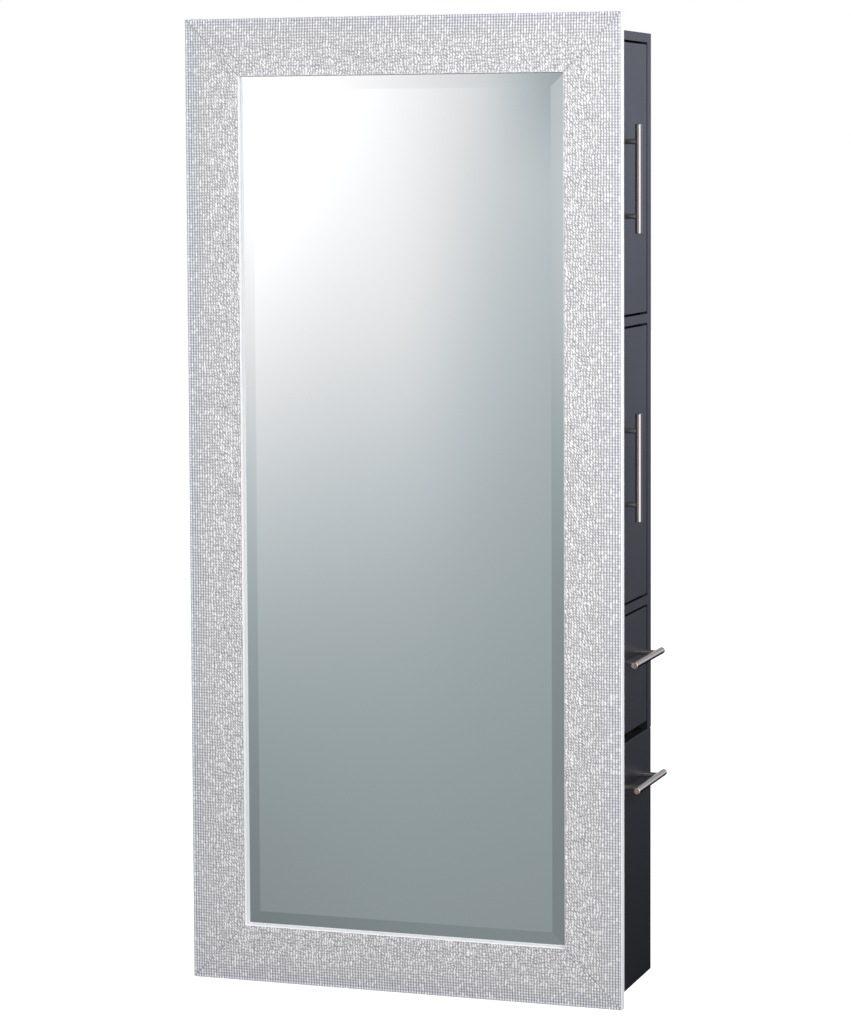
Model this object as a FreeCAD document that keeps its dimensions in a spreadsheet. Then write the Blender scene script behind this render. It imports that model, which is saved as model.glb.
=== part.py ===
"""A wall-hung salon styling station: a tall bevelled mirror in a wide white frame, with a shallow
black storage cabinet behind it that opens at its right-hand side.

The origin is on the wall plane, midway between the four wall screws. +Z is up, the mirror faces
-Y and the doors, drawer and tilt-out bin open towards +X. All sizes are in millimetres.
"""

import FreeCAD, Part
import os
import re

Vector = FreeCAD.Vector
Rotation = FreeCAD.Rotation

DIMENSIONS = {
    # the mirror frame: overall size, and where its lower edge hangs below the wall screws' centre
    "frame_width": 800,
    "frame_height": 1720,
    "frame_depth": 19,
    "frame_bottom": -851,
    "member_width": 102,
    "slope_width": 34,
    "slope_drop": 2,
    "rabbet_width": 8,
    "rabbet_depth": 9,
    "spline_length": 56,
    "spline_width": 26,
    "spline_depth": 4,
    # the bevelled glass and the board behind it
    "glass_clearance": 1,
    "glass_depth": 5,
    "glass_edge": 3.2,
    "bevel_width": 32,
    "backing_depth": 4.6,
    # the cabinet behind the frame
    "cabinet_depth": 244,
    "side_overhang": 17,
    "top_overhang": 30,
    "bottom_overhang": 12,
    "board": 16,
    "back_sheet": 6,
    "door_gap": 4.2,
    "rear_gap": 5,
    "front_gap": 1.5,
    "stile_width": 25.5,
    "storage_reach": 380,
    "shelf_setback": 22,
    # undersides of the dividers, above the cabinet's lower edge
    "upper_divider_level": 1168,
    "middle_divider_level": 666,
    "lower_divider_level": 440,
    "divider_setback": 1,
    # the rails that carry the cabinet on the wall
    "rail_height": 80,
    "wall_screw_pitch": 406.4,
    "wall_screw_hole": 3,
    # pull handles
    "pull_length": 188,
    "pull_centres": 128,
    "pull_projection": 35,
    "pull_radius": 6,
    "post_radius": 4.5,
    "end_chamfer": 0.8,
    "door_pull_from_frame": 51,
    "low_pull_drop": 77,
    # fasteners
    "dowel_radius": 4,
    "dowel_length": 30,
    "dowel_bite": 12,
    "screw_radius": 2,
    "screw_head_radius": 4,
    "screw_head_depth": 2.5,
    "frame_screw_length": 29,
    "pull_screw_length": 25,
    # door pivots
    "pivot_inset": 8.5,
    "pivot_radius": 3,
    "pivot_clearance": 0.05,
    "pivot_seat": 20,
    "pivot_reach": 6,
    "bush_radius": 5,
    "bush_depth": 7,
    "bush_flange_radius": 7,
    "bush_flange_depth": 3,
    # magnetic catches
    "catch_length": 40,
    "catch_height": 14,
    "catch_reach": 24,
    "catch_gap": 0.4,
    "strike_depth": 1,
    # the drawer and its slides
    "drawer_wall": 12,
    "drawer_length": 350,
    "drawer_lift": 16,
    "drawer_height": 146,
    "drawer_floor": 6,
    "slide_room": 13,
    "slide_depth": 12,
    "slide_height": 35,
    "slide_level": 77,
    "slot_height": 22.6,
    "slot_depth": 8,
    "runner_height": 22,
    "runner_depth": 7,
    # the tilt-out bin and its hinge
    "bin_depth": 220,
    "bin_height": 345,
    "bin_lift": 24,
    "bin_floor": 9,
    "bin_side_room": 14,
    "bin_rear_room": 32,
    "bin_edge_gap": 1,
    "leaf_width": 14,
    "leaf_depth": 1.2,
    "leaf_rear_room": 25,
    "knuckle_radius": 2.6,
    "knuckle_length": 38,
    "knuckle_gap": 0.4,
    "hinge_pin_radius": 1.25,
    "stop_height": 14,
    "stop_length": 30,
    "stop_setback": 2,
}

KNUCKLES = 5

doc = FreeCAD.newDocument("styling_station")
sheet = doc.addObject("Spreadsheet::Sheet", "Dims")
for row, (alias, value) in enumerate(DIMENSIONS.items(), start=1):
    sheet.set(f"A{row}", alias)
    sheet.set(f"B{row}", str(value))
    sheet.setAlias(f"B{row}", alias)
doc.recompute()

NODES = {}


def formula(text):
    """Turns a formula written with the plain names of the dimensions into a sheet expression."""
    return re.sub(r"[a-z_]+", lambda word: f"Dims.{word.group()}", str(text))


def bind(obj, settings):
    for prop, text in settings.items():
        obj.setExpression(prop, formula(text))


def place(obj, corner, rotation=Rotation()):
    obj.Placement = FreeCAD.Placement(Vector(), rotation)
    bind(obj, {f"Placement.Base.{axis}": text for axis, text in zip("xyz", corner)})


def new(kind, label, node):
    obj = doc.addObject(kind, label)
    obj.Label = label
    if node:
        NODES[label] = obj
    return obj


def box(label, x_span, y_span, z_span, node=True):
    """A rectangular board between two formulas along each axis."""
    obj = new("Part::Box", label, node)
    spans = (x_span, y_span, z_span)
    sizes = [f"({high}) - ({low})" for low, high in spans]
    bind(obj, dict(zip(("Length", "Width", "Height"), sizes)))
    place(obj, [low for low, high in spans])
    return obj


ALONG = {
    "X": Rotation(Vector(0, 1, 0), 90),
    "Y": Rotation(Vector(1, 0, 0), -90),
    "Z": Rotation(),
}


def rod(label, axis, start, radius, length, node=False):
    """A cylinder that starts at a point and runs along +X, +Y or +Z."""
    obj = new("Part::Cylinder", label, node)
    bind(obj, {"Radius": radius, "Height": length})
    place(obj, start, ALONG[axis])
    return obj


def group(label, members, node=True):
    obj = new("Part::Compound", label, node)
    obj.Links = members
    return obj


def cut(label, blank, tools, node=True):
    obj = new("Part::Cut", label, node)
    obj.Base = blank
    obj.Tool = tools[0] if len(tools) == 1 else group(f"{label}_cutters", tools, node=False)
    return obj


def join(label, pieces, node=True):
    obj = new("Part::MultiFuse", label, node)
    obj.Shapes = pieces
    obj.Refine = True
    return obj


# ---------------------------------------------------------------- planes that many pieces share
SIDE = "(frame_width / 2 - side_overhang)"
INNER = f"({SIDE} - board)"
FRAME_TOP = "(frame_bottom + frame_height)"
FRAME_BACK = "(0 - cabinet_depth)"
FRAME_FRONT = f"({FRAME_BACK} - frame_depth)"
BOARD_BACK = f"({FRAME_BACK} + board)"
SHEET_FRONT = "(0 - back_sheet)"
CABINET_TOP = f"({FRAME_TOP} - top_overhang)"
CABINET_BOTTOM = "(frame_bottom + bottom_overhang)"
ROOM_TOP = f"({CABINET_TOP} - board)"
ROOM_BOTTOM = f"({CABINET_BOTTOM} + board)"
PARTITION_RIGHT = f"({INNER} - storage_reach)"
PARTITION_LEFT = f"({PARTITION_RIGHT} - board)"
STILE_FRONT = "(0 - stile_width)"
DOOR_FRONT = f"({BOARD_BACK} + front_gap)"
DOOR_REAR = f"({STILE_FRONT} - rear_gap)"
UPPER_LEVEL = f"({CABINET_BOTTOM} + upper_divider_level)"
MIDDLE_LEVEL = f"({CABINET_BOTTOM} + middle_divider_level)"
LOWER_LEVEL = f"({CABINET_BOTTOM} + lower_divider_level)"
BOARD_MIDDLE_X = f"({SIDE} - board / 2)"


# ---------------------------------------------------------------- the four mitred frame members
def frame_member(name, length, corner, rotation, splines, screws):
    """A mitred member: local X runs along it, local Y inwards, local Z from front to back."""
    strips = []
    for part, inner, outer, front in (
        ("slope", "0", "slope_width", "slope_drop"),
        ("flat", "slope_width", "member_width", "0"),
    ):
        strip = new("Part::Wedge", f"{name}_{part}", node=False)
        bind(strip, {
            "Xmin": inner, "Xmax": f"{length} - {inner}",
            "X2min": outer, "X2max": f"{length} - {outer}",
            "Ymin": inner, "Ymax": outer,
            "Zmin": front, "Zmax": "frame_depth",
            "Z2min": "0", "Z2max": "frame_depth",
        })
        strips.append(strip)
    body = join(f"{name}_body", strips, node=False)
    rabbet = new("Part::Box", f"{name}_rabbet", node=False)
    bind(rabbet, {
        "Length": length, "Width": "rabbet_width + 1", "Height": "rabbet_depth + 1",
        "Placement.Base.y": "member_width - rabbet_width",
        "Placement.Base.z": "frame_depth - rabbet_depth",
    })
    shaped = cut(f"{name}_shaped", body, [rabbet], node=False)
    place(shaped, corner, rotation)
    return cut(name, shaped, [splines, screws])


def frame_splines():
    """Thin plywood splines let into the mitres, level with the middle of the frame."""
    splines = []
    inset = "member_width * 0.4"
    for x_sign in (-1, 1):
        for z_sign, z_edge in ((-1, "frame_bottom"), (1, FRAME_TOP)):
            plate = new("Part::Box", f"spline_{len(splines) + 1}", node=False)
            bind(plate, {"Length": "spline_length", "Width": "spline_depth",
                         "Height": "spline_width"})
            angle = 45 * x_sign * z_sign
            turn = Rotation(Vector(0, 1, 0), angle)
            along = turn.multVec(Vector(0.5, 0, 0))
            across = turn.multVec(Vector(0, 0, 0.5))
            place(plate, (
                f"{x_sign} * (frame_width / 2 - {inset}) - spline_length * ({along.x})"
                f" - spline_width * ({across.x})",
                f"{FRAME_BACK} - frame_depth / 2 - spline_depth / 2",
                f"{z_edge} - {z_sign} * {inset} - spline_length * ({along.z})"
                f" - spline_width * ({across.z})",
            ), turn)
            splines.append(plate)
    return group("frame_corner_splines", splines)


def screw(label, axis, start, length):
    """A pan-head screw: a head at its start, then a shank of the length given, along an axis."""
    head = rod(f"{label}_head", axis, start, "screw_head_radius", "screw_head_depth")
    shank_start = list(start)
    index = "XYZ".index(axis)
    shank_start[index] = f"{start[index]} + screw_head_depth"
    shank = rod(f"{label}_shank", axis, shank_start, "screw_radius", length)
    return join(label, [head, shank], node=False)


def backward_screw(label, x, z):
    """A pan-head screw driven from inside the cabinet through the front board, towards -Y."""
    tip = f"{BOARD_BACK} - frame_screw_length"
    shank = rod(f"{label}_shank", "Y", (x, tip, z), "screw_radius", "frame_screw_length")
    head = rod(f"{label}_head", "Y", (x, BOARD_BACK, z), "screw_head_radius", "screw_head_depth")
    return join(label, [head, shank], node=False)


def frame_screw_group():
    side_line = f"({INNER} - 12)"
    places = [(f"{sign} * {side_line}", f"{CABINET_BOTTOM} + {level}")
              for sign in (-1, 1) for level in (108, 488, 1068, 1548)]
    places += [(f"{sign} * 150", z) for sign in (-1, 1)
               for z in (f"{CABINET_BOTTOM} + 48", f"{CABINET_TOP} - 30")]
    return group("frame_screws", [backward_screw(f"frame_screw_{number}", x, z)
                                  for number, (x, z) in enumerate(places, start=1)])


corner_splines = frame_splines()
frame_screws = frame_screw_group()
LEFT_EDGE = "(0 - frame_width / 2)"
RIGHT_EDGE = "(frame_width / 2)"
for name, length, corner, x_axis, y_axis in (
    ("frame_left_rail", "frame_height", (LEFT_EDGE, FRAME_FRONT, "frame_bottom"),
     Vector(0, 0, 1), Vector(1, 0, 0)),
    ("frame_right_rail", "frame_height", (RIGHT_EDGE, FRAME_FRONT, FRAME_TOP),
     Vector(0, 0, -1), Vector(-1, 0, 0)),
    ("frame_top_rail", "frame_width", (LEFT_EDGE, FRAME_FRONT, FRAME_TOP),
     Vector(1, 0, 0), Vector(0, 0, -1)),
    ("frame_bottom_rail", "frame_width", (RIGHT_EDGE, FRAME_FRONT, "frame_bottom"),
     Vector(-1, 0, 0), Vector(0, 0, 1)),
):
    turn = Rotation(x_axis, y_axis, Vector(0, 1, 0), "XYZ")
    frame_member(name, length, corner, turn, corner_splines, frame_screws)


# ---------------------------------------------------------------- the bevelled mirror
def mirror():
    """Flat silvered glass whose front edge is ground down to a wide shallow bevel."""
    seat = "(member_width - rabbet_width + glass_clearance)"
    glass_width = f"(frame_width - 2 * {seat})"
    glass_height = f"(frame_height - 2 * {seat})"
    left, bottom = f"({LEFT_EDGE} + {seat})", f"(frame_bottom + {seat})"
    glass_back = f"({FRAME_BACK} - backing_depth - 0.4)"
    edge_front = f"({glass_back} - glass_edge)"
    edge = box("glass_edge_slab", (left, f"{left} + {glass_width}"), (edge_front, glass_back),
               (bottom, f"{bottom} + {glass_height}"), node=False)
    front = new("Part::Wedge", "glass_bevel", node=False)
    bind(front, {
        "Xmin": "bevel_width", "Xmax": f"{glass_width} - bevel_width",
        "X2min": "0", "X2max": glass_width,
        "Zmin": "bevel_width", "Zmax": f"{glass_height} - bevel_width",
        "Z2min": "0", "Z2max": glass_height,
        "Ymin": "0", "Ymax": "glass_depth - glass_edge",
    })
    place(front, (left, f"{glass_back} - glass_depth", bottom))
    join("mirror_glass", [edge, front])
    box("mirror_backing_board", (left, f"{left} + {glass_width}"),
        (f"{FRAME_BACK} - backing_depth - 0.2", f"{FRAME_BACK} - 0.2"),
        (bottom, f"{bottom} + {glass_height}"))


mirror()


# ---------------------------------------------------------------- carcass boards and their dowels
def dowel(number, axis, joint, towards):
    """A dowel across a joint face: it bites into the board on one side and runs into the other."""
    start = list(joint)
    index = "XYZ".index(axis)
    back = "dowel_bite" if towards > 0 else "(dowel_length - dowel_bite)"
    start[index] = f"{joint[index]} - {back}"
    return rod(f"dowel_{number}", axis, start, "dowel_radius", "dowel_length")


HALF_BOARD = "board / 2"
DEPTH_FRONT = f"({BOARD_BACK} + 38)"
DEPTH_REAR = "(0 - 60)"
LEFT_MIDDLE = f"(0 - {SIDE} + {HALF_BOARD})"
PARTITION_MIDDLE = f"({PARTITION_LEFT} + {HALF_BOARD})"
SHELVES = {
    "upper_shelf": f"(({UPPER_LEVEL} + board + {ROOM_TOP}) / 2 - {HALF_BOARD})",
    "lower_shelf": f"(({MIDDLE_LEVEL} + board + {UPPER_LEVEL}) / 2 - {HALF_BOARD})",
}
DIVIDERS = {"upper_divider": UPPER_LEVEL, "middle_divider": MIDDLE_LEVEL,
            "lower_divider": LOWER_LEVEL}
UPPER_RAIL = (f"{ROOM_TOP} - rail_height", ROOM_TOP)
LOWER_RAIL = (ROOM_BOTTOM, f"{ROOM_BOTTOM} + rail_height")


def carcass_dowels():
    joints = []
    for x in (LEFT_MIDDLE, PARTITION_MIDDLE):
        for y in (DEPTH_FRONT, DEPTH_REAR):
            joints.append(("Z", (x, y, ROOM_TOP), -1))
            joints.append(("Z", (x, y, ROOM_BOTTOM), 1))
        for level in (250, 800, 1350):
            joints.append(("Y", (x, BOARD_BACK, f"{CABINET_BOTTOM} + {level}"), 1))
    joints.append(("Z", (BOARD_MIDDLE_X, f"{STILE_FRONT} + 8", ROOM_TOP), -1))
    for level in (*DIVIDERS.values(), *SHELVES.values()):
        middle = f"{level} + {HALF_BOARD}"
        for y in (DEPTH_FRONT, DEPTH_REAR):
            joints.append(("X", (PARTITION_RIGHT, y, middle), 1))
        for x in (f"{PARTITION_RIGHT} + 100", f"{PARTITION_RIGHT} + 300"):
            joints.append(("Y", (x, BOARD_BACK, middle), 1))
    rail_middle = f"({SHEET_FRONT} - {HALF_BOARD})"
    for low, high in (UPPER_RAIL, LOWER_RAIL):
        joints.append(("X", (f"(0 - {INNER})", rail_middle, f"{low} + 60"), 1))
        joints.append(("X", (PARTITION_LEFT, rail_middle, f"{low} + 60"), -1))
        joints.append(("X", (PARTITION_RIGHT, rail_middle, f"{low} + 20"), 1))
    return group("carcass_dowels", [dowel(number, *joint)
                                    for number, joint in enumerate(joints, start=1)])


def pivot_axis():
    return BOARD_MIDDLE_X, f"({DOOR_REAR} - pivot_inset)"


def pivot_bush(number, face, points_up):
    """A flanged bush let into a horizontal board; its flange is on the side of the door."""
    x, y = pivot_axis()
    bottom = f"{face} - {'bush_flange_depth' if points_up else 'bush_depth'}"
    flange_low = f"{face} - bush_flange_depth" if points_up else face
    barrel = rod(f"bush_{number}_barrel", "Z", (x, y, bottom), "bush_radius",
                 "bush_depth + bush_flange_depth")
    flange = rod(f"bush_{number}_flange", "Z", (x, y, flange_low), "bush_flange_radius",
                 "bush_flange_depth")
    bore = rod(f"bush_{number}_bore", "Z", (x, y, f"{face} - bush_depth - 1"),
               "pivot_radius + pivot_clearance", "2 * bush_depth + 2")
    body = join(f"bush_{number}_body", [barrel, flange], node=False)
    return cut(f"bush_{number}", body, [bore], node=False)


def bushes():
    faces = ((ROOM_TOP, True), (f"{UPPER_LEVEL} + board", False),
             (UPPER_LEVEL, True), (f"{MIDDLE_LEVEL} + board", False))
    solids = [pivot_bush(number, *face) for number, face in enumerate(faces, start=1)]
    x, y = pivot_axis()
    seats = [rod(f"bush_seat_{number}", "Z",
                 (x, y, face if points_up else f"{face} - bush_depth"),
                 "bush_radius", "bush_depth")
             for number, (face, points_up) in enumerate(faces, start=1)]
    return group("pivot_bushes", solids), group("bush_seats", seats, node=False)


dowels = carcass_dowels()
pivot_bushes, bush_seats = bushes()


def wall_holes():
    """The four holes for wall screws, through the hanging rails and the back panel."""
    lines = {"upper": f"({ROOM_TOP} - rail_height / 2)",
             "lower": f"({ROOM_BOTTOM} + rail_height / 2)"}
    holes = []
    for name, z in lines.items():
        for side, sign in (("left", -1), ("right", 1)):
            start = (f"{sign} * wall_screw_pitch / 2", f"{SHEET_FRONT} - board - 1", z)
            holes.append(rod(f"{name}_{side}_wall_hole", "Y", start, "wall_screw_hole",
                             "board + back_sheet + 2"))
    return group("wall_screw_holes", holes, node=False)


wall_screw_holes = wall_holes()


def board(label, x_span, y_span, z_span, tools):
    return cut(label, box(f"{label}_blank", x_span, y_span, z_span, node=False), tools)


def carcass():
    full_depth = (BOARD_BACK, "0")
    inside_depth = (BOARD_BACK, SHEET_FRONT)
    room = (ROOM_BOTTOM, ROOM_TOP)
    board("front_board", (f"0 - {SIDE}", SIDE), (FRAME_BACK, BOARD_BACK),
          (CABINET_BOTTOM, CABINET_TOP), [dowels, frame_screws])
    board("top_panel", (f"0 - {SIDE}", SIDE), full_depth, (ROOM_TOP, CABINET_TOP),
          [dowels, bush_seats])
    board("bottom_panel", (f"0 - {SIDE}", INNER), full_depth, (CABINET_BOTTOM, ROOM_BOTTOM),
          [dowels])
    board("left_side_panel", (f"0 - {SIDE}", f"0 - {INNER}"), full_depth, room, [dowels])
    board("rear_stile", (INNER, SIDE), (STILE_FRONT, "0"),
          (f"{LOWER_LEVEL} + bin_edge_gap", ROOM_TOP), [dowels])
    board("centre_partition", (PARTITION_LEFT, PARTITION_RIGHT), inside_depth, room, [dowels])
    board("back_panel", (f"0 - {INNER}", INNER), (SHEET_FRONT, "0"), room, [wall_screw_holes])
    for name, level in DIVIDERS.items():
        set_back = name == "lower_divider"
        right = f"{INNER} - divider_setback" if set_back else SIDE
        blank = box(f"{name}_blank", (PARTITION_RIGHT, right), inside_depth,
                    (level, f"{level} + board"), node=False)
        tools = [dowels]
        if not set_back:
            notch = box(f"{name}_notch", (INNER, f"{SIDE} + 1"), (STILE_FRONT, "1"),
                        (f"{level} - 1", f"{level} + board + 1"), node=False)
            tools += [notch, bush_seats]
        cut(name, blank, tools)
    for name, level in SHELVES.items():
        board(name, (PARTITION_RIGHT, f"{INNER} - shelf_setback"), inside_depth,
              (level, f"{level} + board"), [dowels])
    rail_depth = (f"{SHEET_FRONT} - board", SHEET_FRONT)
    for name, z_span in (("upper_hanging_rails", UPPER_RAIL), ("lower_hanging_rails", LOWER_RAIL)):
        blanks = [
            box(f"{name}_left", (f"0 - {INNER}", PARTITION_LEFT), rail_depth, z_span, node=False),
            box(f"{name}_right", (PARTITION_RIGHT, f"{INNER} - 1"), rail_depth, z_span, node=False),
        ]
        cut(name, group(f"{name}_blank", blanks, node=False), [dowels, wall_screw_holes])


carcass()


# ---------------------------------------------------------------- pull handles
def pull(prefix, axis, y, z):
    """A bar on two posts; its centre is at y, z and its posts stand on the side plane."""
    bar_x = f"({SIDE} + pull_projection - pull_radius)"
    half_bar, half_centres = "pull_length / 2", "pull_centres / 2"
    bar_start = {"Y": (bar_x, f"{y} - {half_bar}", z), "Z": (bar_x, y, f"{z} - {half_bar}")}[axis]
    bar = rod(f"{prefix}_pull_rod", axis, bar_start, "pull_radius", "pull_length")
    doc.recompute()
    chamfered = new("Part::Chamfer", f"{prefix}_pull_bar", node=True)
    chamfered.Base = bar
    ends = [number for number, edge in enumerate(bar.Shape.Edges, start=1)
            if isinstance(edge.Curve, Part.Circle)]
    size = float(sheet.get("end_chamfer"))
    chamfered.Edges = [(number, size, size) for number in ends]
    screws, posts = [], []
    for sign in (-1, 1):
        offset = f"{sign} * {half_centres}"
        post_y, post_z = (f"{y} + {offset}", z) if axis == "Y" else (y, f"{z} + {offset}")
        screws.append(screw(f"{prefix}_pull_screw_{sign + 2}", "X",
                            (f"{INNER} - screw_head_depth", post_y, post_z), "pull_screw_length"))
        posts.append(rod(f"{prefix}_post_{sign + 2}", "X", (SIDE, post_y, post_z), "post_radius",
                         "pull_projection - pull_radius"))
    screw_group = group(f"{prefix}_pull_screws", screws)
    raw_posts = group(f"{prefix}_posts_raw", posts, node=False)
    cut(f"{prefix}_pull_posts", raw_posts, [bar, screw_group])
    return screw_group


# ---------------------------------------------------------------- the two pivoted doors
def door(prefix, low_board, high_board):
    low, high = f"({low_board} + board + door_gap)", f"({high_board} - door_gap)"
    blank = box(f"{prefix}_door_blank", (INNER, SIDE), (DOOR_FRONT, DOOR_REAR), (low, high),
                node=False)
    x, y = pivot_axis()
    pin_length = "pivot_seat + door_gap + pivot_reach"
    pins = group(f"{prefix}_door_pivot_pins", [
        rod(f"{prefix}_pin_low", "Z", (x, y, f"{low} - door_gap - pivot_reach"), "pivot_radius",
            pin_length),
        rod(f"{prefix}_pin_high", "Z", (x, y, f"{high} - pivot_seat"), "pivot_radius", pin_length),
    ])
    screws = pull(prefix, "Z", f"({FRAME_BACK} + door_pull_from_frame)", f"(({low} + {high}) / 2)")
    cut(f"{prefix}_door", blank, [pins, screws])
    box(f"{prefix}_door_strike", (f"{INNER} - strike_depth", INNER),
        (f"{DOOR_FRONT} + 12", f"{DOOR_FRONT} + 12 + catch_length"),
        (f"{high} - catch_height + 1", f"{high} - 1"))
    catch_face = f"({INNER} - strike_depth - catch_gap)"
    return box(f"{prefix}_catch", (f"{catch_face} - catch_reach", catch_face),
               (f"{DOOR_FRONT} + 12", f"{DOOR_FRONT} + 12 + catch_length"),
               (f"{high_board} - catch_height", high_board), node=False)


catches = [door("upper", UPPER_LEVEL, ROOM_TOP), door("lower", MIDDLE_LEVEL, UPPER_LEVEL)]
group("magnetic_catches", catches)


# ---------------------------------------------------------------- the drawer on its two slides
def drawer():
    bottom = f"({LOWER_LEVEL} + board)"
    top = f"({MIDDLE_LEVEL} - door_gap)"
    near, far = f"({BOARD_BACK} + slide_room)", f"({STILE_FRONT} - slide_room + 0.5)"
    inner_end = f"({INNER} - drawer_length)"
    box_low, box_high = f"({bottom} + drawer_lift)", f"({bottom} + drawer_lift + drawer_height)"
    pull_screws = pull("drawer", "Y", f"(({DOOR_FRONT} + {DOOR_REAR}) / 2)",
                       f"({top} - low_pull_drop)")
    board("drawer_front", (INNER, SIDE), (DOOR_FRONT, DOOR_REAR), (bottom, top), [pull_screws])
    side_spans = ((near, f"{near} + drawer_wall"), (f"{far} - drawer_wall", far))
    group("drawer_sides", [
        box(f"drawer_side_{number}", (inner_end, INNER), span, (box_low, box_high), node=False)
        for number, span in enumerate(side_spans, start=1)])
    between = (f"{near} + drawer_wall", f"{far} - drawer_wall")
    box("drawer_back", (inner_end, f"{inner_end} + drawer_wall"), between, (box_low, box_high))
    box("drawer_floor_sheet", (f"{inner_end} + drawer_wall", INNER), between,
        (f"{box_low} + 6", f"{box_low} + 6 + drawer_floor"))
    middle = f"({bottom} + slide_level)"
    channel_x, runner_x = (inner_end, f"{INNER} - 2"), (inner_end, f"{INNER} - 4")
    slide_z = (f"{middle} - slide_height / 2", f"{middle} + slide_height / 2")
    slot_z = (f"{middle} - slot_height / 2", f"{middle} + slot_height / 2")
    runner_z = (f"{middle} - runner_height / 2", f"{middle} + runner_height / 2")
    sides = (
        ((BOARD_BACK, f"{BOARD_BACK} + slide_depth"),
         (f"{BOARD_BACK} + slide_depth - slot_depth", f"{BOARD_BACK} + slide_depth + 1"),
         (f"{near} - runner_depth", near)),
        ((f"{STILE_FRONT} - slide_depth", STILE_FRONT),
         (f"{STILE_FRONT} - slide_depth - 1", f"{STILE_FRONT} - slide_depth + slot_depth"),
         (far, f"{far} + runner_depth")),
    )
    channels, runners = [], []
    for number, (channel_y, slot_y, runner_y) in enumerate(sides, start=1):
        blank = box(f"slide_blank_{number}", channel_x, channel_y, slide_z, node=False)
        slot = box(f"slide_slot_{number}", (f"{inner_end} - 1", f"{INNER} + 1"), slot_y, slot_z,
                   node=False)
        channels.append(cut(f"slide_channel_{number}", blank, [slot], node=False))
        runners.append(box(f"slide_runner_{number}", runner_x, runner_y, runner_z, node=False))
    group("drawer_slide_channels", channels)
    group("drawer_slide_runners", runners)
    box("drawer_slide_spacer", channel_x, (STILE_FRONT, SHEET_FRONT), slide_z)


drawer()


# ---------------------------------------------------------------- the tilt-out bin
def hinge_leaf(label, x_span, numbers, pin_bore):
    """A hinge leaf under the lower edge with every second knuckle along the common pin."""
    front = f"(0 - leaf_rear_room - {KNUCKLES} * knuckle_length)"
    axis_z = f"({CABINET_BOTTOM} - knuckle_radius)"
    rear = "(0 - leaf_rear_room)"
    plate = box(f"{label}_plate", x_span, (front, rear),
                (f"{CABINET_BOTTOM} - leaf_depth", CABINET_BOTTOM), node=False)
    knuckles, reliefs = [], []
    for number in range(KNUCKLES):
        start = f"{front} + {number} * knuckle_length"
        if number in numbers:
            knuckles.append(rod(f"{label}_knuckle_{number}", "Y",
                                (INNER, f"{start} + knuckle_gap / 2", axis_z), "knuckle_radius",
                                "knuckle_length - knuckle_gap"))
        else:
            reliefs.append(rod(f"{label}_relief_{number}", "Y",
                               (INNER, f"{start} - knuckle_gap / 2", axis_z),
                               "knuckle_radius + knuckle_gap", "knuckle_length + knuckle_gap"))
    relieved = cut(f"{label}_relieved", plate, reliefs, node=False)
    return cut(label, join(f"{label}_solid", [relieved, *knuckles], node=False), [pin_bore])


def bin_hinge():
    front = f"(0 - leaf_rear_room - {KNUCKLES} * knuckle_length)"
    start = (INNER, front, f"({CABINET_BOTTOM} - knuckle_radius)")
    length = f"{KNUCKLES} * knuckle_length"
    rod("bin_hinge_pin", "Y", start, "hinge_pin_radius", length, node=True)
    bore_start = (start[0], f"{front} - 1", start[2])
    bore = rod("hinge_running_bore", "Y", bore_start, "hinge_pin_radius + pivot_clearance",
               f"{length} + 2")
    fixed_bore = rod("hinge_fixed_bore", "Y", bore_start, "hinge_pin_radius", f"{length} + 2")
    hinge_leaf("bin_hinge_fixed_leaf", (f"{INNER} - leaf_width", INNER), (0, 2, 4), fixed_bore)
    hinge_leaf("bin_hinge_moving_leaf", (f"{INNER} + 0.3", f"{INNER} + leaf_width"), (1, 3), bore)


def tilt_bin():
    low, high = f"({CABINET_BOTTOM} + bin_lift)", f"({CABINET_BOTTOM} + bin_lift + bin_height)"
    near, far = f"({BOARD_BACK} + bin_side_room)", "(0 - bin_rear_room)"
    inner_end = f"({INNER} - bin_depth)"
    pull_screws = pull("bin", "Y", f"(({DOOR_FRONT} - bin_edge_gap) / 2)",
                       f"({LOWER_LEVEL} - low_pull_drop)")
    board("bin_front", (INNER, SIDE), (DOOR_FRONT, "0 - bin_edge_gap"),
          (CABINET_BOTTOM, LOWER_LEVEL), [pull_screws])
    side_spans = ((near, f"{near} + drawer_wall"), (f"{far} - drawer_wall", far))
    group("bin_sides", [
        box(f"bin_side_{number}", (inner_end, INNER), span, (low, high), node=False)
        for number, span in enumerate(side_spans, start=1)])
    between = (f"{near} + drawer_wall", f"{far} - drawer_wall")
    box("bin_back", (inner_end, f"{inner_end} + drawer_wall"), between, (low, high))
    box("bin_floor_board", (f"{inner_end} + drawer_wall", INNER), between,
        (low, f"{low} + bin_floor"))
    stop_x = (f"{INNER} - divider_setback - stop_setback - stop_height",
              f"{INNER} - divider_setback - stop_setback")
    group("bin_stop_blocks", [
        box(f"bin_stop_{number}", stop_x, (y, f"{y} + stop_length"),
            (f"{LOWER_LEVEL} - stop_height", LOWER_LEVEL), node=False)
        for number, y in enumerate((f"{near} + 24", f"{far} - 24 - stop_length"), start=1)])


bin_hinge()
tilt_bin()


# ---------------------------------------------------------------- checks and files
def write_parts():
    doc.recompute()
    for obj in doc.Objects:
        if "Invalid" in obj.State or "Error" in obj.State:
            raise RuntimeError(f"{obj.Label} is {obj.State}")
    os.makedirs("parts", exist_ok=True)
    for label, obj in NODES.items():
        shape = obj.Shape
        if shape.isNull() or not shape.isValid() or not shape.Solids:
            raise RuntimeError(f"{label} has no valid solid")
        shape.exportStep(os.path.join("parts", f"{label}.step"))
        print(f"{label}: {len(shape.Solids)} solids, {shape.Volume / 1000:.1f} cm3")
    print(len(NODES), "nodes")


write_parts()
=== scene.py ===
"""Looks of the wall-hung salon styling station.

An embossed white frame round a bevelled mirror, over a shallow black cabinet.

Everything is in metres in the part's own frame: +Z up, the mirror faces -Y, the doors open to +X.
"""

import math

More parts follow.
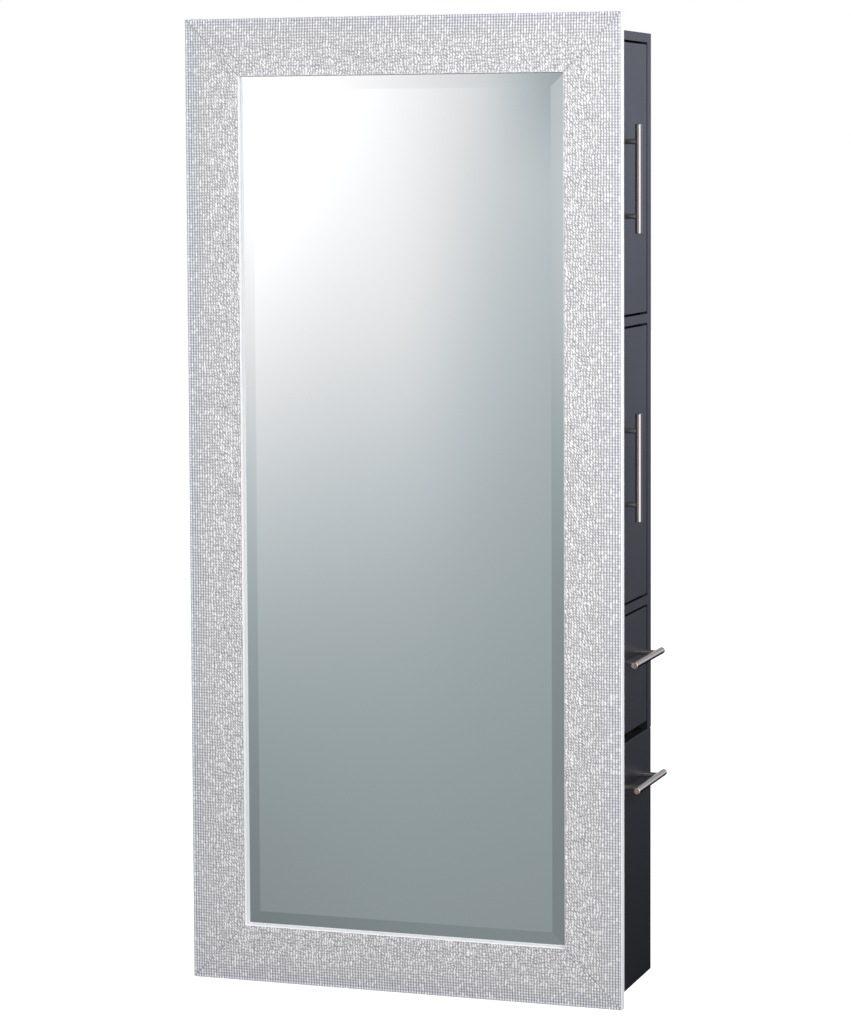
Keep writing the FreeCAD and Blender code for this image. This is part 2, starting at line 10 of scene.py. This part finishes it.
import bpy
import numpy as np
from mathutils import Matrix, Vector


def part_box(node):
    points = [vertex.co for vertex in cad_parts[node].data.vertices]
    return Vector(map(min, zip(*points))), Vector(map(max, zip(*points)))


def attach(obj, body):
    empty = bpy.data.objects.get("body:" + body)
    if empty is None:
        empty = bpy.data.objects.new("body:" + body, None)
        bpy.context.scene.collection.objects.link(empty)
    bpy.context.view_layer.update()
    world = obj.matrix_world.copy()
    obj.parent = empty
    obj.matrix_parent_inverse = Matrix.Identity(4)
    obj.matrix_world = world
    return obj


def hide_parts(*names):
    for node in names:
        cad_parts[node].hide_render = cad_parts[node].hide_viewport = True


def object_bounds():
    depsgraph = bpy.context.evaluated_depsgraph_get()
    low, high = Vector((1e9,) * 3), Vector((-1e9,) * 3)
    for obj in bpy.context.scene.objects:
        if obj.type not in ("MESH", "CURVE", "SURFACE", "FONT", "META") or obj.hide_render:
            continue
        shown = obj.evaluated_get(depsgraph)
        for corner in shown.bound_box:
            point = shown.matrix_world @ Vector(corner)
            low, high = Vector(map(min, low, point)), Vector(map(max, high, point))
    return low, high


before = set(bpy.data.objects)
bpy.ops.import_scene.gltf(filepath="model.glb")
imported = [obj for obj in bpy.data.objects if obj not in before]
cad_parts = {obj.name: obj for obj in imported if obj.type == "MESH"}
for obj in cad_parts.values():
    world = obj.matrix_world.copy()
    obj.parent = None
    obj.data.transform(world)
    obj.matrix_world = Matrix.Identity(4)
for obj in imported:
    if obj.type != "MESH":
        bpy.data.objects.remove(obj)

cad_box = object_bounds()
scene = bpy.context.scene
MM = 0.001


# ---------------------------------------------------------------- node helpers
class Graph:
    """A short way to write shader node trees: every method returns an output socket."""

    def __init__(self, tree):
        self.tree = tree

    def add(self, kind, inputs=(), out=0, **settings):
        node = self.tree.nodes.new(kind)
        for name, value in settings.items():
            setattr(node, name, value)
        for key, value in dict(inputs).items():
            self.feed(node.inputs[key], value)
        return node.outputs[out]

    def feed(self, socket, value):
        if isinstance(value, bpy.types.NodeSocket):
            self.tree.links.new(value, socket)
        else:
            socket.default_value = value

    def math(self, operation, *values, clamp=False):
        return self.add("ShaderNodeMath", enumerate(values), operation=operation, use_clamp=clamp)

    def mix(self, factor, low, high):
        return self.add("ShaderNodeMix", {0: factor, 6: low, 7: high}, out=2, data_type="RGBA")

    def ramp(self, value, low, high):
        """0 below low, 1 above high, smooth between."""
        return self.add("ShaderNodeMapRange", {0: value, 1: low, 2: high, 3: 0.0, 4: 1.0},
                        interpolation_type="SMOOTHSTEP")

    def bell(self, value, centre, width):
        offset = self.math("DIVIDE", self.math("SUBTRACT", value, centre), width)
        return self.math("EXPONENT", self.math("MULTIPLY", self.math("POWER", offset, 2.0), -1.0))

    def noise(self, vector, scale, detail=2.0, stretch=None):
        if stretch:
            vector = self.add("ShaderNodeMapping", {"Vector": vector, "Scale": stretch})
        return self.add("ShaderNodeTexNoise", {"Vector": vector, "Scale": scale, "Detail": detail})

    def coordinates(self):
        return self.add("ShaderNodeTexCoord", out="Object")

    def bump(self, height, strength, distance):
        return self.add("ShaderNodeBump", {"Height": height, "Strength": strength,
                                           "Distance": distance})


def colour(red, green, blue):
    return (red, green, blue, 1.0)


def material(name, **fixed):
    """A new Principled material, its graph and its shader, with plain values set on the shader."""
    made = bpy.data.materials.new(name)
    made.use_nodes = True
    shader = made.node_tree.nodes["Principled BSDF"]
    for key, value in fixed.items():
        shader.inputs[key.replace("_", " ")].default_value = value
    return made, Graph(made.node_tree), shader


# ---------------------------------------------------------------- materials
FILM_BEAD = (0.91, 0.91, 0.925)
FILM_BEAD_PALE = (0.95, 0.95, 0.96)
# painted shade: the dark grey of the grooves stands in for the shade inside the pressed weave, and
# is cooler at the outer rim
FILM_GROOVE_SHADE = (0.275, 0.27, 0.285)
FILM_GROOVE_SHADE_AT_RIM = (0.24, 0.255, 0.30)


def embossed_film():
    """White film with a pressed weave: bright beads, painted shade in the grooves, cooler at the
    outer rim.
    """
    made, graph, shader = material("embossed_film")
    relief = graph.add("ShaderNodeAttribute", out="Fac", attribute_name="relief")
    rim = graph.add("ShaderNodeAttribute", out="Fac", attribute_name="rim")
    place = graph.coordinates()
    drift = graph.noise(place, 9.0)
    bead = graph.mix(drift, colour(*FILM_BEAD), colour(*FILM_BEAD_PALE))
    # painted shade in the grooves: where the relief is low the film takes the dark groove colour
    shaded_groove = graph.mix(rim, colour(*FILM_GROOVE_SHADE), colour(*FILM_GROOVE_SHADE_AT_RIM))
    graph.feed(shader.inputs["Base Color"],
               graph.mix(graph.ramp(relief, 0.05, 0.95), shaded_groove, bead))
    grain = graph.noise(place, 2600.0, detail=1.0)
    graph.feed(shader.inputs["Normal"], graph.bump(grain, 0.25, 0.0002))
    graph.feed(shader.inputs["Roughness"],
               graph.math("ADD", graph.math("MULTIPLY", graph.noise(place, 300.0), 0.12), 0.40))
    return made


def mirror_silver():
    made, graph, shader = material("mirror_silver", Metallic=1.0, Roughness=0.012)
    haze = graph.noise(graph.coordinates(), 1.6)
    graph.feed(shader.inputs["Base Color"],
               graph.mix(haze, colour(0.835, 0.870, 0.874), colour(0.845, 0.880, 0.884)))
    return made


def laminate(name, tone, roughness=0.36, gloss=0.5):
    """Melamine-faced board: a tight pressed grain and a cloudy sheen."""
    made, graph, shader = material(name, Specular_IOR_Level=gloss)
    place = graph.coordinates()
    grain = graph.noise(place, 900.0, detail=3.0, stretch=(1.0, 1.0, 0.12))
    cloud = graph.noise(place, 5.0, detail=3.0)
    base = graph.mix(grain, colour(*(0.80 * part for part in tone)),
                     colour(*(1.25 * part for part in tone)))
    graph.feed(shader.inputs["Base Color"],
               graph.mix(cloud, base, colour(*(1.12 * part for part in tone))))
    shine = graph.math("ADD", graph.math("MULTIPLY", cloud, 0.10), roughness - 0.05)
    graph.feed(shader.inputs["Roughness"],
               graph.math("ADD", shine, graph.math("MULTIPLY", grain, 0.06)))
    graph.feed(shader.inputs["Normal"], graph.bump(grain, 0.18, 0.0002))
    return made


def brushed_metal(name, tone, roughness, lay, caps=None):
    """Brushed metal with fine lines; lay is the axis that the lines follow.

    caps is the colour of the turned end faces, which stand square to lay.
    """
    made, graph, shader = material(name, Metallic=1.0)
    stretch = [1.0 if axis != lay else 0.02 for axis in "XYZ"]
    place = graph.coordinates()
    lines = graph.noise(place, 2400.0, detail=2.0, stretch=stretch)
    smear = graph.noise(place, 60.0, detail=2.0)
    tint = graph.mix(lines, colour(*(0.90 * part for part in tone)),
                     colour(*(min(1.0, 1.06 * part) for part in tone)))
    if caps:
        facing = graph.add("ShaderNodeSeparateXYZ",
                           {0: graph.add("ShaderNodeTexCoord", out="Normal")}, out=lay)
        tint = graph.mix(graph.ramp(graph.math("ABSOLUTE", facing), 0.8, 0.95), tint,
                         colour(*caps))
    graph.feed(shader.inputs["Base Color"], tint)
    graph.feed(shader.inputs["Roughness"],
               graph.math("ADD", graph.math("MULTIPLY", lines, 0.08),
                          graph.math("ADD", graph.math("MULTIPLY", smear, 0.04),
                                     roughness - 0.06)))
    graph.feed(shader.inputs["Normal"], graph.bump(lines, 0.05, 0.00003))
    return made


def moulded(name, tone, roughness):
    """Moulded plastic or rubber with a fine spark texture."""
    made, graph, shader = material(name)
    place = graph.coordinates()
    spark = graph.noise(place, 1800.0, detail=2.0)
    graph.feed(shader.inputs["Base Color"],
               graph.mix(graph.noise(place, 40.0), colour(*(0.88 * part for part in tone)),
                         colour(*tone)))
    graph.feed(shader.inputs["Roughness"],
               graph.math("ADD", graph.math("MULTIPLY", spark, 0.1), roughness - 0.05))
    graph.feed(shader.inputs["Normal"], graph.bump(spark, 0.2, 0.0001))
    return made


def wood_fibre(name, dark, light, scale, stretch):
    """Bare timber or fibreboard: fibres drawn out along one axis."""
    made, graph, shader = material(name, Roughness=0.6)
    place = graph.coordinates()
    fibres = graph.noise(place, scale, detail=4.0, stretch=stretch)
    graph.feed(shader.inputs["Base Color"], graph.mix(fibres, colour(*dark), colour(*light)))
    graph.feed(shader.inputs["Normal"], graph.bump(fibres, 0.25, 0.0002))
    return made


BLACK = (0.013, 0.013, 0.017)
NICKEL = (0.72, 0.69, 0.65)
NICKEL_ENDS = (0.46, 0.34, 0.26)
# the same metal, a touch warmer to offset the bluish backdrop that the level bars mirror
NICKEL_LEVEL = (0.76, 0.69, 0.61)
ZINC = (0.60, 0.61, 0.63)

MATERIALS = {
    "film": embossed_film(),
    "mirror": mirror_silver(),
    "black": laminate("black_laminate", BLACK, roughness=0.30),
    # painted shade: a near-black matt board stands in for the shade in the slot in front of the
    # lower divider
    "slot_shade": laminate("slot_painted_shade", (0.004, 0.004, 0.004), roughness=0.9,
                          gloss=0.1),
    "inner": laminate("inner_laminate", (0.022, 0.022, 0.026), roughness=0.45),
    "sheet": laminate("black_back_sheet", (0.022, 0.022, 0.025), roughness=0.6),
    "hardboard": wood_fibre("hardboard", (0.16, 0.09, 0.045), (0.30, 0.19, 0.11), 500.0,
                            (1.0, 1.0, 1.0)),
    "beech": wood_fibre("beech", (0.50, 0.33, 0.19), (0.68, 0.50, 0.32), 260.0, (1.0, 0.1, 1.0)),
    "nickel_upright": brushed_metal("nickel_upright", NICKEL, 0.16, "Z", NICKEL_ENDS),
    "nickel_level": brushed_metal("nickel_level", NICKEL_LEVEL, 0.18, "Y", NICKEL_ENDS),
    "nickel_post": brushed_metal("nickel_post", NICKEL, 0.20, "X"),
    "zinc": brushed_metal("zinc_plate", ZINC, 0.30, "X"),
    "blacked": moulded("blacked_steel", (0.012, 0.012, 0.013), 0.45),
    "nylon": moulded("black_nylon", (0.006, 0.006, 0.006), 0.85),
    "catch": moulded("catch_plastic", (0.022, 0.022, 0.024), 0.5),
    "rubber": moulded("stop_rubber", (0.018, 0.018, 0.018), 0.75),
}

# which material each CAD node wears, and the width of its worn or rounded edges in millimetres
FINISHES = {
    "mirror_glass": ("mirror", 0),
    # painted shade: the lower divider's set-back edge, the floor of its slot, is near-black
    "lower_divider": ("slot_shade", 0.3),
    "rear_stile": ("black", 0.3),
    "mirror_backing_board": ("hardboard", 0),
    "frame_corner_splines": ("beech", 0),
    "carcass_dowels": ("beech", 0),
    "back_panel": ("sheet", 0.3),
    "magnetic_catches": ("catch", 1.0),
    "pivot_bushes": ("nylon", 0),
    "bin_stop_blocks": ("rubber", 1.5),
    "upper_pull_bar": ("nickel_upright", 0),
    "lower_pull_bar": ("nickel_upright", 0),
    "drawer_pull_bar": ("nickel_level", 0),
    "bin_pull_bar": ("nickel_level", 0),
}
FINISH_BY_WORD = (
    ("pull_posts", ("nickel_post", 0)),
    ("screws", ("zinc", 0)),
    ("pivot_pins", ("blacked", 0)),
    ("strike", ("zinc", 0.2)),
    ("hinge", ("zinc", 0)),
    ("slide_channels", ("zinc", 0.3)),
    ("slide_runners", ("zinc", 0.3)),
    ("drawer_sides", ("inner", 0.5)),
    ("drawer_back", ("inner", 0.5)),
    ("drawer_floor", ("inner", 0.3)),
    ("bin_sides", ("inner", 0.5)),
    ("bin_back", ("inner", 0.5)),
    ("bin_floor", ("inner", 0.5)),
)
BOARD_FINISH = ("black", 0.7)


def finish_of(name):
    if name in FINISHES:
        return FINISHES[name]
    for word, finish in FINISH_BY_WORD:
        if word in name:
            return finish
    return BOARD_FINISH


def soften(obj, width):
    """Rounds the edges of a CAD node a little, as edging tape and worn corners do."""
    weld = obj.modifiers.new("weld", "WELD")
    weld.merge_threshold = 0.00001
    bevel = obj.modifiers.new("edge", "BEVEL")
    bevel.limit_method = "ANGLE"
    bevel.angle_limit = math.radians(35)
    bevel.width = width * MM
    bevel.segments = 2
    bevel.harden_normals = True


def dress_cad_nodes():
    for name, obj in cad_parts.items():
        finish, edge = finish_of(name)
        obj.data.materials.clear()
        obj.data.materials.append(MATERIALS[finish])
        if edge:
            soften(obj, edge)


# ---------------------------------------------------------------- the embossed frame
WEAVE_PITCH = 4.94 * MM
EMBOSS_DEPTH = 1.05 * MM
OUTER_RADIUS = 1.4 * MM
INNER_RADIUS = 0.9 * MM
SLOPE_WIDTH = 34 * MM
SLOPE_DROP = 2 * MM
RABBET_WIDTH = 8 * MM
LIP_DEPTH = 10 * MM
MITRE_GROOVE = 0.35 * MM
MITRE_WIDTH = 0.6 * MM
LIP_FADE = 1.6 * MM
COLUMNS_PER_PITCH = 4
SIDE_ROWS, LEVEL_ROWS = 3, 4
LATTICE = 509

# how rows and columns of the weave wander: (amount in pitches, noise cell, seed step)
ROW_WANDER = ((0.30, 9 * MM, 0), (0.34, 4.5 * MM, 6))
COLUMN_WANDER = ((0.34, 13 * MM, 1), (0.22, 6 * MM, 2))
LEAN_AT_RIM, LEAN_WITH_WANDER = 0.14, 0.40
SIDE_DEPTH, SIDE_DEPTH_SPREAD = 0.74, 0.22
END_DEPTH, END_DEPTH_JOINED = 0.60, 0.12
JOINED_AT_RIM, JOINED_INWARD = 0.08, 0.30
BEAD_LEVEL, BEAD_SPREAD = 0.84, 0.16


def smooth_noise(across, along, cell, seed):
    """Value noise on a square lattice, from -1 to 1, the same on every run."""
    values = np.random.default_rng(seed).uniform(-1.0, 1.0, (LATTICE, LATTICE))
    x, y = across / cell, along / cell
    x0, y0 = np.floor(x).astype(int), np.floor(y).astype(int)
    fx, fy = x - x0, y - y0
    fx, fy = fx * fx * (3 - 2 * fx), fy * fy * (3 - 2 * fy)

    def corner(i, j):
        return values[(x0 + i) % LATTICE, (y0 + j) % LATTICE]

    low = corner(0, 0) * (1 - fx) + corner(1, 0) * fx
    high = corner(0, 1) * (1 - fx) + corner(1, 1) * fx
    return low * (1 - fy) + high * fy


def per_cell(column, row, seed):
    """One random number from 0 to 1 for each cell of the weave."""
    values = np.random.default_rng(seed).uniform(0.0, 1.0, (LATTICE, LATTICE))
    return values[column.astype(int) % LATTICE, row.astype(int) % LATTICE]


def wandering(level, upright, parts, seed):
    return sum(amount * smooth_noise(level, upright, cell, seed + step)
               for amount, cell, step in parts)


def weave(level, upright, inner, seed):
    """Relief of the pressed weave, from 0 in a pit to 1 on a bead.

    level and upright are the place on the face, and inner goes from 0 at the outer edge of the
    frame to 1 near the mirror. Beads stand in a regular grid at the outer edge, with a pit where
    two grooves cross. Further in they lean to the left at the top, wander and join into strokes.
    """
    wander = np.clip(inner * 2.0 - 0.25, 0.06, 1.0)
    row = upright / WEAVE_PITCH + wander * wandering(level, upright, ROW_WANDER, seed)
    lean = (LEAN_AT_RIM + LEAN_WITH_WANDER * wander) * (row - np.floor(row) - 0.5)
    column = (level / WEAVE_PITCH + lean
              + wander * wandering(level, upright, COLUMN_WANDER, seed))
    side_groove = np.cos(math.pi * column) ** 2
    end_groove = np.cos(math.pi * row) ** 2
    side_depth = SIDE_DEPTH + SIDE_DEPTH_SPREAD * per_cell(
        np.round(column), np.floor(row), seed + 3)
    joined = (per_cell(np.floor(column), np.round(row), seed + 4)
              < JOINED_AT_RIM + JOINED_INWARD * inner)
    end_depth = np.where(joined, END_DEPTH_JOINED, END_DEPTH)
    bead = BEAD_LEVEL + BEAD_SPREAD * per_cell(np.floor(column), np.floor(row), seed + 5)
    return bead * (1 - side_groove * side_depth) * (1 - end_groove * end_depth)


def frame_profile(width, depth):
    """Points round a member's section as (across, back) and how much of the weave each takes."""
    points = [(0.0, depth, 0.0), (0.0, depth * 0.5, 0.0)]
    for step in range(4):
        turn = math.radians(90) * step / 4
        points.append((OUTER_RADIUS * (1 - math.cos(turn)),
                       SLOPE_DROP + OUTER_RADIUS * (1 - math.sin(turn)), 0.0))
    face = width - OUTER_RADIUS - INNER_RADIUS
    columns = round(face / (WEAVE_PITCH / COLUMNS_PER_PITCH))
    for column in range(columns + 1):
        across = OUTER_RADIUS + face * column / columns
        fall = 0.5 + 0.5 * math.cos(math.pi * min(across / SLOPE_WIDTH, 1.0))
        to_lip = (width - INNER_RADIUS - across) / LIP_FADE
        points.append((across, SLOPE_DROP * fall, min(1.0, 0.35 + column * 0.4, 0.1 + to_lip)))
    for step in (1, 2, 3):
        turn = math.radians(90) * step / 3
        points.append((width - INNER_RADIUS * (1 - math.sin(turn)),
                       INNER_RADIUS * (1 - math.cos(turn)), 0.0))
    points += [(width, LIP_DEPTH * 0.5, 0.0), (width, LIP_DEPTH, 0.0),
               (width - RABBET_WIDTH, LIP_DEPTH, 0.0), (width - RABBET_WIDTH, depth, 0.0)]
    return np.array(points)


def mitred_skin(across, rows):
    """Which vertex stands at each row and profile point when the rows stop at the mitres.

    rows holds the distance of each row along the outer edge. Past a mitre every row of a profile
    point shares one vertex, so the faces there shrink to triangles on the mitre line.
    """
    length = rows[-1]
    first = np.searchsorted(rows, across, side="right") - 1
    last = np.searchsorted(rows, length - across, side="left")
    row_number = np.arange(len(rows))[:, None]
    clamped = np.clip(row_number, first[None, :], last[None, :])
    kept = clamped == row_number
    numbers = np.cumsum(kept.reshape(-1)).reshape(kept.shape) - 1
    vertex = numbers[clamped, np.arange(len(across))[None, :]]
    neighbour = np.roll(vertex, 1, axis=1)
    cells = np.stack([vertex[:-1], vertex[1:], neighbour[1:], neighbour[:-1]], axis=-1)
    cells = cells.reshape(-1, 4)
    near, far = cells[:, 0] != cells[:, 1], cells[:, 2] != cells[:, 3]
    faces = (cells[near & far].tolist() + cells[near & ~far][:, [0, 1, 2]].tolist()
             + cells[~near & far][:, [0, 2, 3]].tolist())
    faces += [vertex[0][::-1].tolist(), vertex[-1].tolist()]
    return kept, faces


def frame_member(node, corner, along_axis, inward_axis, width, rows_per_pitch, seed):
    """A mitred member with real embossing, in place of its plain CAD node."""
    low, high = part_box(node)
    depth = high.y - low.y
    length = abs((high - low).dot(along_axis))
    across, back, share = frame_profile(width, depth).T
    rows = np.linspace(0.0, length, round(length * rows_per_pitch / WEAVE_PITCH) + 1)
    kept, faces = mitred_skin(across, rows)
    along = np.clip(rows[:, None], across[None, :], length - across[None, :])[kept]
    across, back, share = (np.broadcast_to(part, kept.shape)[kept]
                           for part in (across, back, share))
    inner = np.clip(across / width, 0.0, 1.0)
    spot = across - OUTER_RADIUS
    # level runs to +X and upright to +Z on every member, so all the strokes lean one way
    sign = 1 if along_axis.z + along_axis.x > 0 else -1
    if along_axis.x == 0:
        level, upright = sign * spot, sign * along
    else:
        level, upright = sign * along, -sign * spot
    from_mitre = np.minimum(along - across, length - across - along)
    shaded_groove = np.exp(-((from_mitre / MITRE_WIDTH) ** 2))
    # painted shade: the mitre line gets a lower relief, so it sinks deeper and also takes the
    # painted groove shade
    relief = weave(level, upright, inner, seed) * (1 - shaded_groove * (0.20 + 0.40 * inner))
    sunk = EMBOSS_DEPTH * share * (1 - relief) + MITRE_GROOVE * shaded_groove * (share > 0)
    points = (np.array(corner) + along[:, None] * np.array(along_axis)
              + across[:, None] * np.array(inward_axis)
              + (back + sunk)[:, None] * np.array((0.0, 1.0, 0.0)))
    mesh = bpy.data.meshes.new(f"embossed_{node}")
    mesh.from_pydata(points.tolist(), [], faces)
    for name, values in (("relief", np.where(share > 0, relief, 1.0)),
                         ("rim", 1 - np.clip(across / SLOPE_WIDTH, 0.0, 1.0))):
        layer = mesh.attributes.new(name, "FLOAT", "POINT")
        layer.data.foreach_set("value", values.astype(np.float32))
    mesh.shade_smooth()
    mesh.set_sharp_from_angle(angle=math.radians(75))
    mesh.materials.append(MATERIALS["film"])
    obj = bpy.data.objects.new(f"embossed_{node}", mesh)
    scene.collection.objects.link(obj)
    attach(obj, "carcass")
    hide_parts(node)


def embossed_frame():
    low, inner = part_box("frame_left_rail")
    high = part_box("frame_right_rail")[1]
    width = inner.x - low.x
    up, right = Vector((0, 0, 1)), Vector((1, 0, 0))
    left_x, right_x, bottom_z, top_z = low.x, high.x, low.z, high.z
    frame_member("frame_left_rail", (left_x, low.y, bottom_z), up, right, width, SIDE_ROWS, 11)
    frame_member("frame_right_rail", (right_x, low.y, top_z), -up, -right, width,
                 SIDE_ROWS, 23)
    frame_member("frame_top_rail", (left_x, low.y, top_z), right, -up, width, LEVEL_ROWS, 37)
    frame_member("frame_bottom_rail", (right_x, low.y, bottom_z), -right, up, width,
                 LEVEL_ROWS, 53)


# ---------------------------------------------------------------- floor, light and camera
FLOOR_DROP = 0.45
FILL_LOW = (0.25, 0.25, 0.26)
FILL_HIGH = (0.45, 0.45, 0.465)

# what shiny surfaces see; turn and rise are in degrees, and turn is 0 straight out from the
# mirror and grows toward +X
# soft patches: (turn, spread), (rise, spread), level
GLOW = ((-24.9, 6.2), (3.5, 8.2), 1.60)
HAZE = ((-19.0, 1.2), (-2.4, 3.6), 0.08)
BAND = ((-8.4, 2.5), (-0.3, 4.9), 0.48)
LEFT_SCREEN = ((-72.0, 22.0), (6.0, 30.0), 0.2)
ROOM_LEVEL, ROOM_GAIN, ROOM_RISE = 0.27, 0.147, (-23.2, -1.7)
# the room darkens by this share between these two turns
ROOM_DIPS = ((0.235, (-18.5, -24.4)), (0.15, (-24.5, -28.5)), (0.75, (-15.5, -1.0)))
CORNER_SHARE, CORNER_RISE = 0.28, (-0.8, 1.6)
CORNER_TURN, CORNER_END = (-18.0, -16.2), (-15.8, -14.0)
RIGHT_SCREEN_TURN, RIGHT_SCREEN_END, RIGHT_SCREEN_RISE = (17.0, 26.0), (76.0, 98.0), (8.0, 48.0)
RIGHT_SCREEN_LEVEL = 1.25
CEILING_RISE, CEILING_END, CEILING_LEVEL = (20.0, 28.0), (42.0, 55.0), 0.6
BACKDROP_RISE, BACKDROP_LEVEL = (-15.0, 6.0), 0.75
BACKDROP_FADE, BACKDROP_FADE_SHARE = (4.0, 13.0), 0.5

# name, place, target, (width, height), watts
SOFT_LIGHTS = (
    ("key", (2.3, -1.75, 1.0), (0.05, -0.26, 0.1), (0.9, 0.9), 70),
    ("front_fill", (-1.6, -3.6, 0.8), (0.0, -0.26, 0.0), (1.6, 2.0), 80),
)


def add_floor():
    made, graph, shader = material("pale_floor", Roughness=0.9, Emission_Strength=0.8,
                                   Emission_Color=colour(1.0, 1.0, 1.0))
    cloud = graph.noise(graph.coordinates(), 0.6)
    graph.feed(shader.inputs["Base Color"],
               graph.mix(cloud, colour(0.90, 0.90, 0.90), colour(0.93, 0.93, 0.93)))
    bpy.ops.mesh.primitive_plane_add(size=60, location=(0, 0, cad_box[0][2] - FLOOR_DROP))
    floor = bpy.context.object
    floor.name = "floor"
    floor.data.materials.append(made)
    floor.visible_glossy = False
    floor.visible_diffuse = False


def studio_world():
    """White to the camera, a soft even fill for matt surfaces, and a studio for shiny ones.

    Shiny surfaces see a dim teal room with a round glow to the front left, a bright screen to the
    right, a faint one to the left, a strip of bright ceiling, and a pale backdrop behind the
    object that fades to a dark floor. The haze and the darker upper right corner are small
    corrections to the room.
    """
    world = bpy.data.worlds.new("studio")
    scene.world = world
    world.use_nodes = True
    tree = world.node_tree
    tree.nodes.clear()
    graph = Graph(tree)
    split = graph.add("ShaderNodeSeparateXYZ",
                      {0: graph.add("ShaderNodeTexCoord", out="Generated")})
    x, y, z = split.node.outputs
    degrees = 180 / math.pi
    turn = graph.math("MULTIPLY", graph.math("ARCTAN2", x, graph.math("MULTIPLY", y, -1.0)),
                      degrees)
    rise = graph.math("MULTIPLY", graph.math("ARCSINE", z), degrees)

    def times(*values):
        product = values[0]
        for value in values[1:]:
            product = graph.math("MULTIPLY", product, value)
        return product

    def plus(*values):
        total = values[0]
        for value in values[1:]:
            total = graph.math("ADD", total, value)
        return total

    def less(share, value):
        return graph.math("SUBTRACT", 1.0, graph.math("MULTIPLY", value, share))

    def patch(at_turn, at_rise, strength):
        return times(graph.bell(turn, *at_turn), graph.bell(rise, *at_rise), strength)

    room = times(graph.math("MULTIPLY_ADD", graph.ramp(rise, *ROOM_RISE), ROOM_GAIN, ROOM_LEVEL),
                 *(less(share, graph.ramp(turn, *span)) for share, span in ROOM_DIPS))
    upper_right = times(graph.ramp(rise, *CORNER_RISE), graph.ramp(turn, *CORNER_TURN),
                        less(1.0, graph.ramp(turn, *CORNER_END)))
    lobby = times(plus(room, patch(*GLOW), patch(*HAZE)), less(CORNER_SHARE, upper_right))
    right_screen = times(graph.ramp(turn, *RIGHT_SCREEN_TURN),
                         less(1.0, graph.ramp(turn, *RIGHT_SCREEN_END)),
                         graph.bell(rise, *RIGHT_SCREEN_RISE), RIGHT_SCREEN_LEVEL)
    ceiling = times(graph.ramp(rise, *CEILING_RISE), less(1.0, graph.ramp(rise, *CEILING_END)),
                    CEILING_LEVEL)
    front = plus(lobby, patch(*BAND), right_screen, patch(*LEFT_SCREEN), ceiling)
    backdrop = times(graph.ramp(rise, *BACKDROP_RISE),
                     less(BACKDROP_FADE_SHARE, graph.ramp(rise, *BACKDROP_FADE)), BACKDROP_LEVEL)
    behind = graph.ramp(y, 0.70, 0.90)
    level = graph.add("ShaderNodeMix", {0: behind, 2: front, 3: backdrop})
    tint = graph.mix(graph.ramp(level, 0.32, 0.98), colour(0.89, 1.0, 1.04),
                     colour(1.035, 1.0, 1.01))
    dusk = graph.mix(graph.bell(rise, -2.0, 11.0), colour(1.0, 0.985, 0.96),
                     colour(0.94, 1.0, 1.28))
    tint = graph.mix(behind, tint, dusk)
    seen = graph.add("ShaderNodeVectorMath", {0: tint, 1: level}, operation="MULTIPLY")
    path = graph.add("ShaderNodeLightPath").node.outputs
    fill = graph.mix(graph.ramp(z, -0.5, 0.8), colour(*FILL_LOW), colour(*FILL_HIGH))
    shown = graph.mix(path["Is Glossy Ray"], fill, seen)
    final = graph.mix(path["Is Camera Ray"], shown, colour(1.0, 1.0, 1.0))
    background = graph.add("ShaderNodeBackground", {"Color": final})
    output = tree.nodes.new("ShaderNodeOutputWorld")
    tree.links.new(background, output.inputs["Surface"])


def add_soft_light(name, place, target, size, power):
    light = bpy.data.lights.new(name, "AREA")
    light.shape = "RECTANGLE"
    light.size, light.size_y = size
    light.energy = power
    obj = bpy.data.objects.new(name, light)
    scene.collection.objects.link(obj)
    obj.location = place
    obj.rotation_euler = (Vector(target) - Vector(place)).to_track_quat("-Z", "Y").to_euler()
    obj.visible_glossy = False
    obj.visible_camera = False


CAMERA_PLACE = Vector((1.882, -5.676, 0.617))
CAMERA_YAW, CAMERA_PITCH, CAMERA_ROLL = (
    math.radians(angle) for angle in (18.72, 4.162, -0.279))
CAMERA_LENS = 115.8
CAMERA_SHIFT = -0.109


def add_camera():
    data = bpy.data.cameras.new("camera")
    data.lens = CAMERA_LENS
    data.shift_y = CAMERA_SHIFT
    camera = bpy.data.objects.new("camera", data)
    scene.collection.objects.link(camera)
    level = math.cos(CAMERA_PITCH)
    forward = Vector((-math.sin(CAMERA_YAW) * level, math.cos(CAMERA_YAW) * level,
                      -math.sin(CAMERA_PITCH)))
    right = Vector((math.cos(CAMERA_YAW), math.sin(CAMERA_YAW), 0.0))
    up = right.cross(forward)
    roll = Matrix.Rotation(CAMERA_ROLL, 3, -forward)
    turned = Matrix((roll @ right, roll @ up, -forward)).transposed()
    camera.matrix_world = Matrix.Translation(CAMERA_PLACE) @ turned.to_4x4()
    scene.camera = camera


dress_cad_nodes()
embossed_frame()
add_floor()
studio_world()
for soft_light in SOFT_LIGHTS:
    add_soft_light(*soft_light)
add_camera()
scene.view_settings.view_transform = "Standard"
